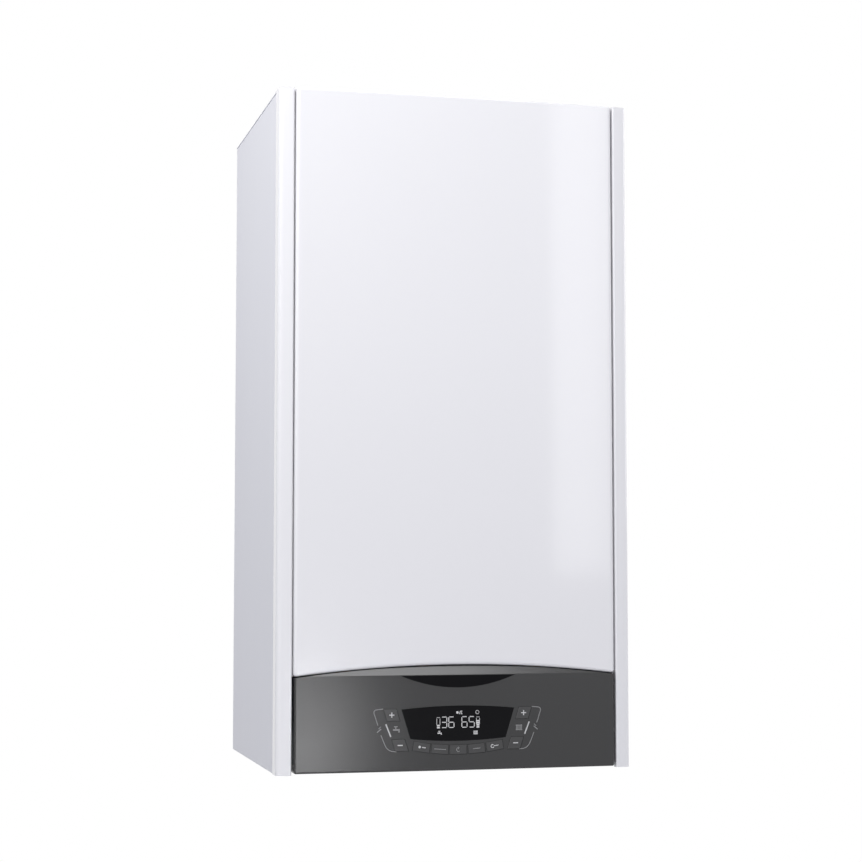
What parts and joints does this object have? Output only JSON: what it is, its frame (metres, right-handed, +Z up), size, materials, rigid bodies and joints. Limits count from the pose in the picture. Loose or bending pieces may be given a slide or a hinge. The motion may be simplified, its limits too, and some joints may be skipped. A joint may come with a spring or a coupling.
{
  "type": "wall-hung combi boiler",
  "caption": "Wall-hung condensing combi boiler with lift-off white casing, tilting keypad fascia, sealed burner chamber, hydraulics and bottom pipe unions.",
  "frame": {"origin": "on the wall plane, midway between the two bolt holes of the wall bracket, 700 mm above the casing's lower edge", "axes": "+Z up, +Y into the wall, front faces -Y, +X to the right seen from the front"},
  "size_m": [0.4, 0.319, 0.774],
  "materials": {
    "casing_white": "gloss white stove enamel",
    "trim_white": "gloss white",
    "side_white": "semi-gloss white",
    "chassis_steel": "zinc-coated sheet",
    "screw_steel": "zinc plated",
    "flue_cast": "cast and machined",
    "fascia_grey": "satin metallic grey",
    "key_grey": "satin metallic grey with light symbols",
    "display_black": "clear black window",
    "badge_black": "gloss black, bare",
    "box_plastic": "fine grained",
    "board_green": "circuit board with its components",
    "chamber_white": "coated sheet",
    "cell_steel": "stainless",
    "cast_aluminium": "die cast",
    "ceramic": "unglazed white",
    "black_plastic": "moulded",
    "vessel_paint": "red primer",
    "brass": "hot pressed",
    "plate_steel": "stainless plates, copper brazed",
    "motor_grey": "moulded",
    "pump_cast": "coated",
    "copper": "drawn copper",
    "knob_red": "moulded",
    "knob_black": "moulded",
    "trap_plastic": "moulded",
    "hose_rubber": "smooth hose"
  },
  "bodies": {
    "casing": {"front_panel": "casing_white", "left_trim": "trim_white", "right_trim": "trim_white"},
    "chassis": {"wall_bracket": "chassis_steel", "back_frame": "chassis_steel", "right_side_panel": "side_white", "left_side_panel": "side_white", "top_panel": "side_white", "bottom_plate": "chassis_steel", "hinge_brackets": "chassis_steel", "flue_outlet": "flue_cast", "case_screws": "screw_steel", "chamber_box": "chamber_white", "chamber_cover": "chamber_white", "heat_exchanger": "cell_steel", "burner_door": "cast_aluminium", "burner_tube": "cell_steel", "electrodes": "ceramic", "mixing_duct": "cast_aluminium", "fan_housing": "cast_aluminium", "fan_motor": "black_plastic", "venturi": "black_plastic", "expansion_vessel": "vessel_paint", "flow_block": "brass", "return_block": "brass", "plate_exchanger": "plate_steel", "diverter_motor": "motor_grey", "safety_valve": "brass", "pump_body": "pump_cast", "pump_motor": "cast_aluminium", "air_vent": "black_plastic", "gas_valve": "cast_aluminium", "gas_inlet_pipe": "copper", "gas_tube": "copper", "flow_pipe": "copper", "return_pipe": "copper", "condensate_trap": "trap_plastic", "condensate_hose": "hose_rubber", "heating_nipples": "brass", "water_nipples": "brass"},
    "control_panel": {"control_fascia": "fascia_grey", "control_box": "box_plastic", "main_board": "board_green", "display_module": "board_green", "display_window": "display_black", "badge_inset": "badge_black"},
    "hot_water_plus_button": {"hot_water_plus_key": "key_grey"},
    "hot_water_minus_button": {"hot_water_minus_key": "key_grey"},
    "heating_plus_button": {"heating_plus_key": "key_grey"},
    "heating_minus_button": {"heating_minus_key": "key_grey"},
    "mode_button": {"mode_key": "key_grey"},
    "comfort_button": {"comfort_key": "key_grey"},
    "auto_button": {"auto_key": "key_grey"},
    "info_button": {"info_key": "key_grey"},
    "reset_button": {"reset_key": "key_grey"},
    "fan_rotor": {"fan_impeller": "black_plastic"},
    "pump_rotor": {"pump_impeller": "black_plastic"},
    "diverter_spindle": {"diverter_stem": "cell_steel"},
    "relief_cap": {"safety_knob": "knob_red"},
    "filling_tap": {"filling_knob": "knob_black"}
  },
  "joints": [
    {"name": "casing_lift", "type": "slide", "parent": "chassis", "child": "casing", "axis": [0, 0, 1], "range_m": [0, 0.76]},
    {"name": "control_panel_tilt", "type": "hinge", "parent": "chassis", "child": "control_panel", "pos_m": [0, -0.226, -0.686], "axis": [1, 0, 0], "range_deg": [0, 80]},
    {"name": "hot_water_plus_press", "type": "slide", "parent": "control_panel", "child": "hot_water_plus_button", "axis": [0, 1, 0], "range_m": [0, 0.0008], "stiffness_N_per_m": 1500, "springref_m": -0.0003},
    {"name": "hot_water_minus_press", "type": "slide", "parent": "control_panel", "child": "hot_water_minus_button", "axis": [0, 1, 0], "range_m": [0, 0.0008], "stiffness_N_per_m": 1500, "springref_m": -0.0003},
    {"name": "heating_plus_press", "type": "slide", "parent": "control_panel", "child": "heating_plus_button", "axis": [0, 1, 0], "range_m": [0, 0.0008], "stiffness_N_per_m": 1500, "springref_m": -0.0003},
    {"name": "heating_minus_press", "type": "slide", "parent": "control_panel", "child": "heating_minus_button", "axis": [0, 1, 0], "range_m": [0, 0.0008], "stiffness_N_per_m": 1500, "springref_m": -0.0003},
    {"name": "mode_press", "type": "slide", "parent": "control_panel", "child": "mode_button", "axis": [0, 1, 0], "range_m": [0, 0.0008], "stiffness_N_per_m": 1500, "springref_m": -0.0003},
    {"name": "comfort_press", "type": "slide", "parent": "control_panel", "child": "comfort_button", "axis": [0, 1, 0], "range_m": [0, 0.0008], "stiffness_N_per_m": 1500, "springref_m": -0.0003},
    {"name": "auto_press", "type": "slide", "parent": "control_panel", "child": "auto_button", "axis": [0, 1, 0], "range_m": [0, 0.0008], "stiffness_N_per_m": 1500, "springref_m": -0.0003},
    {"name": "info_press", "type": "slide", "parent": "control_panel", "child": "info_button", "axis": [0, 1, 0], "range_m": [0, 0.0008], "stiffness_N_per_m": 1500, "springref_m": -0.0003},
    {"name": "reset_press", "type": "slide", "parent": "control_panel", "child": "reset_button", "axis": [0, 1, 0], "range_m": [0, 0.0008], "stiffness_N_per_m": 1500, "springref_m": -0.0003},
    {"name": "fan_spin", "type": "hinge", "parent": "chassis", "child": "fan_rotor", "pos_m": [0.105, -0.211, -0.23], "axis": [0, 1, 0], "continuous": true},
    {"name": "pump_spin", "type": "hinge", "parent": "chassis", "child": "pump_rotor", "pos_m": [0.132, -0.14, -0.538], "axis": [0, 1, 0], "continuous": true},
    {"name": "diverter_shift", "type": "slide", "parent": "chassis", "child": "diverter_spindle", "axis": [0, 0, -1], "range_m": [0, 0.008]},
    {"name": "relief_turn", "type": "hinge", "parent": "chassis", "child": "relief_cap", "pos_m": [-0.098, -0.2, -0.625], "axis": [0, -1, 0], "range_deg": [0, 90]},
    {"name": "filling_turn", "type": "hinge", "parent": "chassis", "child": "filling_tap", "pos_m": [0.098, -0.142, -0.66], "axis": [0, 0, 1], "range_deg": [0, 90]}
  ]
}
